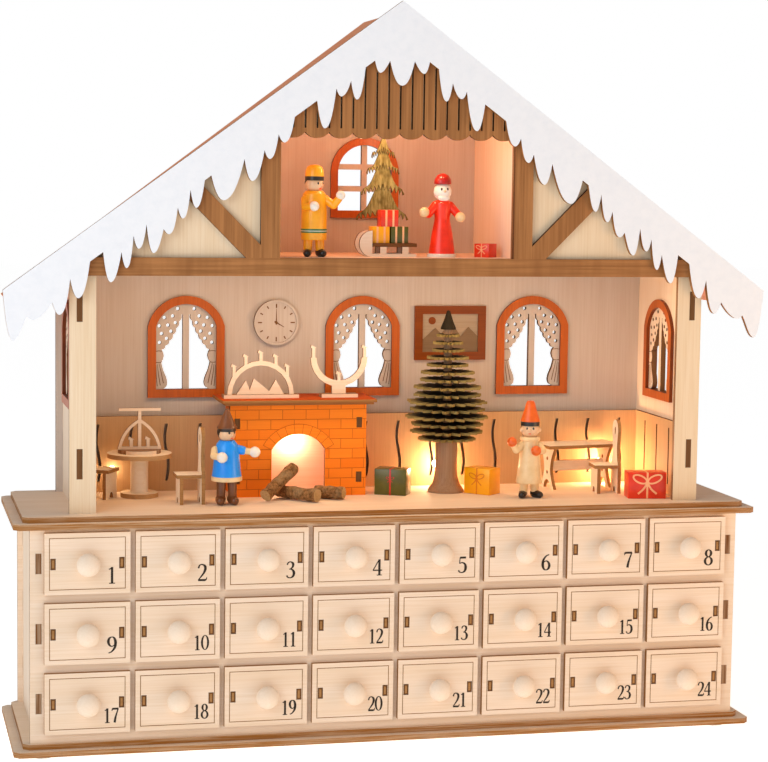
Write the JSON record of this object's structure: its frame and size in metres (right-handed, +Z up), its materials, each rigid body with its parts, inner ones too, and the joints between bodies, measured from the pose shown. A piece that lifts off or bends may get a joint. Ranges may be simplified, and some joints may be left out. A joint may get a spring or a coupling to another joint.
{
  "type": "wooden advent calendar",
  "caption": "Wooden advent calendar: a gabled house with an open lit room and attic of small figures, standing on a chest of numbered pull-out drawers.",
  "frame": {"origin": "on the table, under the middle of the calendar", "axes": "+X to the right seen from the front, +Y to the back, +Z up"},
  "size_m": [0.4228, 0.111, 0.4036],
  "materials": {
    "bare_plywood": "sanded raw birch plywood with dark laser-cut edges",
    "red_brown_stain": "red-brown stained plywood, satin",
    "terracotta_paint": "matt terracotta paint",
    "brown_stain": "matt brown stain on plywood",
    "light_brown_stain": "light brown stain, matt",
    "white_paint": "matt white paint, bare laser-cut edge",
    "brick_paint": "orange paint with drawn brick joints",
    "log_bark": "natural twigs with bark",
    "olive_stain": "olive stain, dark cut edges",
    "figure_paint": "satin enamel in several colours",
    "gift_paint": "satin enamel in several colours",
    "lamp_glass": "clear warm lamp",
    "black_plastic": "fine moulded grain"
  },
  "bodies": {
    "house": {"attic_figures": "figure_paint", "attic_fir": "olive_stain", "attic_floor": "bare_plywood", "attic_partitions": "bare_plywood", "base_back_panel": "bare_plywood", "base_end_panels": "bare_plywood", "base_face_frame": "bare_plywood", "battery_box": "black_plastic", "battery_cover": "black_plastic", "candle_ornaments": "bare_plywood", "chairs": "light_brown_stain", "cornice_boards": "bare_plywood", "drawer_dividers": "bare_plywood", "drawer_shelves": "bare_plywood", "feet": "bare_plywood", "fir_tree": "olive_stain", "fireplace": "brick_paint", "framed_picture": "red_brown_stain", "gift_boxes": "gift_paint", "hearth_logs": "log_bark", "house_back_wall": "bare_plywood", "house_front_panel": "bare_plywood", "house_side_walls": "bare_plywood", "led_bulbs": "lamp_glass", "plinth_boards": "bare_plywood", "roof_panels": "terracotta_paint", "room_figures": "figure_paint", "round_table": "bare_plywood", "sled": "gift_paint", "snow_bargeboard": "white_paint", "timber_frame": "brown_stain", "wainscot": "brown_stain", "wall_clock": "bare_plywood", "window_frames": "red_brown_stain", "writing_desk": "bare_plywood"},
    "drawer_01": {"drawer_01": "bare_plywood"},
    "drawer_02": {"drawer_02": "bare_plywood"},
    "drawer_03": {"drawer_03": "bare_plywood"},
    "drawer_04": {"drawer_04": "bare_plywood"},
    "drawer_05": {"drawer_05": "bare_plywood"},
    "drawer_06": {"drawer_06": "bare_plywood"},
    "drawer_07": {"drawer_07": "bare_plywood"},
    "drawer_08": {"drawer_08": "bare_plywood"},
    "drawer_09": {"drawer_09": "bare_plywood"},
    "drawer_10": {"drawer_10": "bare_plywood"},
    "drawer_11": {"drawer_11": "bare_plywood"},
    "drawer_12": {"drawer_12": "bare_plywood"},
    "drawer_13": {"drawer_13": "bare_plywood"},
    "drawer_14": {"drawer_14": "bare_plywood"},
    "drawer_15": {"drawer_15": "bare_plywood"},
    "drawer_16": {"drawer_16": "bare_plywood"},
    "drawer_17": {"drawer_17": "bare_plywood"},
    "drawer_18": {"drawer_18": "bare_plywood"},
    "drawer_19": {"drawer_19": "bare_plywood"},
    "drawer_20": {"drawer_20": "bare_plywood"},
    "drawer_21": {"drawer_21": "bare_plywood"},
    "drawer_22": {"drawer_22": "bare_plywood"},
    "drawer_23": {"drawer_23": "bare_plywood"},
    "drawer_24": {"drawer_24": "bare_plywood"},
    "lamp_switch": {"switch_slider": "black_plastic"}
  },
  "joints": [
    {"name": "drawer_01_slide", "type": "slide", "parent": "house", "child": "drawer_01", "axis": [0, -1, 0], "range_m": [0, 0.075]},
    {"name": "drawer_02_slide", "type": "slide", "parent": "house", "child": "drawer_02", "axis": [0, -1, 0], "range_m": [0, 0.075]},
    {"name": "drawer_03_slide", "type": "slide", "parent": "house", "child": "drawer_03", "axis": [0, -1, 0], "range_m": [0, 0.075]},
    {"name": "drawer_04_slide", "type": "slide", "parent": "house", "child": "drawer_04", "axis": [0, -1, 0], "range_m": [0, 0.075]},
    {"name": "drawer_05_slide", "type": "slide", "parent": "house", "child": "drawer_05", "axis": [0, -1, 0], "range_m": [0, 0.075]},
    {"name": "drawer_06_slide", "type": "slide", "parent": "house", "child": "drawer_06", "axis": [0, -1, 0], "range_m": [0, 0.075]},
    {"name": "drawer_07_slide", "type": "slide", "parent": "house", "child": "drawer_07", "axis": [0, -1, 0], "range_m": [0, 0.075]},
    {"name": "drawer_08_slide", "type": "slide", "parent": "house", "child": "drawer_08", "axis": [0, -1, 0], "range_m": [0, 0.075]},
    {"name": "drawer_09_slide", "type": "slide", "parent": "house", "child": "drawer_09", "axis": [0, -1, 0], "range_m": [0, 0.075]},
    {"name": "drawer_10_slide", "type": "slide", "parent": "house", "child": "drawer_10", "axis": [0, -1, 0], "range_m": [0, 0.075]},
    {"name": "drawer_11_slide", "type": "slide", "parent": "house", "child": "drawer_11", "axis": [0, -1, 0], "range_m": [0, 0.075]},
    {"name": "drawer_12_slide", "type": "slide", "parent": "house", "child": "drawer_12", "axis": [0, -1, 0], "range_m": [0, 0.075]},
    {"name": "drawer_13_slide", "type": "slide", "parent": "house", "child": "drawer_13", "axis": [0, -1, 0], "range_m": [0, 0.075]},
    {"name": "drawer_14_slide", "type": "slide", "parent": "house", "child": "drawer_14", "axis": [0, -1, 0], "range_m": [0, 0.075]},
    {"name": "drawer_15_slide", "type": "slide", "parent": "house", "child": "drawer_15", "axis": [0, -1, 0], "range_m": [0, 0.075]},
    {"name": "drawer_16_slide", "type": "slide", "parent": "house", "child": "drawer_16", "axis": [0, -1, 0], "range_m": [0, 0.075]},
    {"name": "drawer_17_slide", "type": "slide", "parent": "house", "child": "drawer_17", "axis": [0, -1, 0], "range_m": [0, 0.075]},
    {"name": "drawer_18_slide", "type": "slide", "parent": "house", "child": "drawer_18", "axis": [0, -1, 0], "range_m": [0, 0.075]},
    {"name": "drawer_19_slide", "type": "slide", "parent": "house", "child": "drawer_19", "axis": [0, -1, 0], "range_m": [0, 0.075]},
    {"name": "drawer_20_slide", "type": "slide", "parent": "house", "child": "drawer_20", "axis": [0, -1, 0], "range_m": [0, 0.075]},
    {"name": "drawer_21_slide", "type": "slide", "parent": "house", "child": "drawer_21", "axis": [0, -1, 0], "range_m": [0, 0.075]},
    {"name": "drawer_22_slide", "type": "slide", "parent": "house", "child": "drawer_22", "axis": [0, -1, 0], "range_m": [0, 0.075]},
    {"name": "drawer_23_slide", "type": "slide", "parent": "house", "child": "drawer_23", "axis": [0, -1, 0], "range_m": [0, 0.075]},
    {"name": "drawer_24_slide", "type": "slide", "parent": "house", "child": "drawer_24", "axis": [0, -1, 0], "range_m": [0, 0.075]},
    {"name": "switch_slide", "type": "slide", "parent": "house", "child": "lamp_switch", "axis": [0, 0, 1], "range_m": [0, 0.003]}
  ]
}
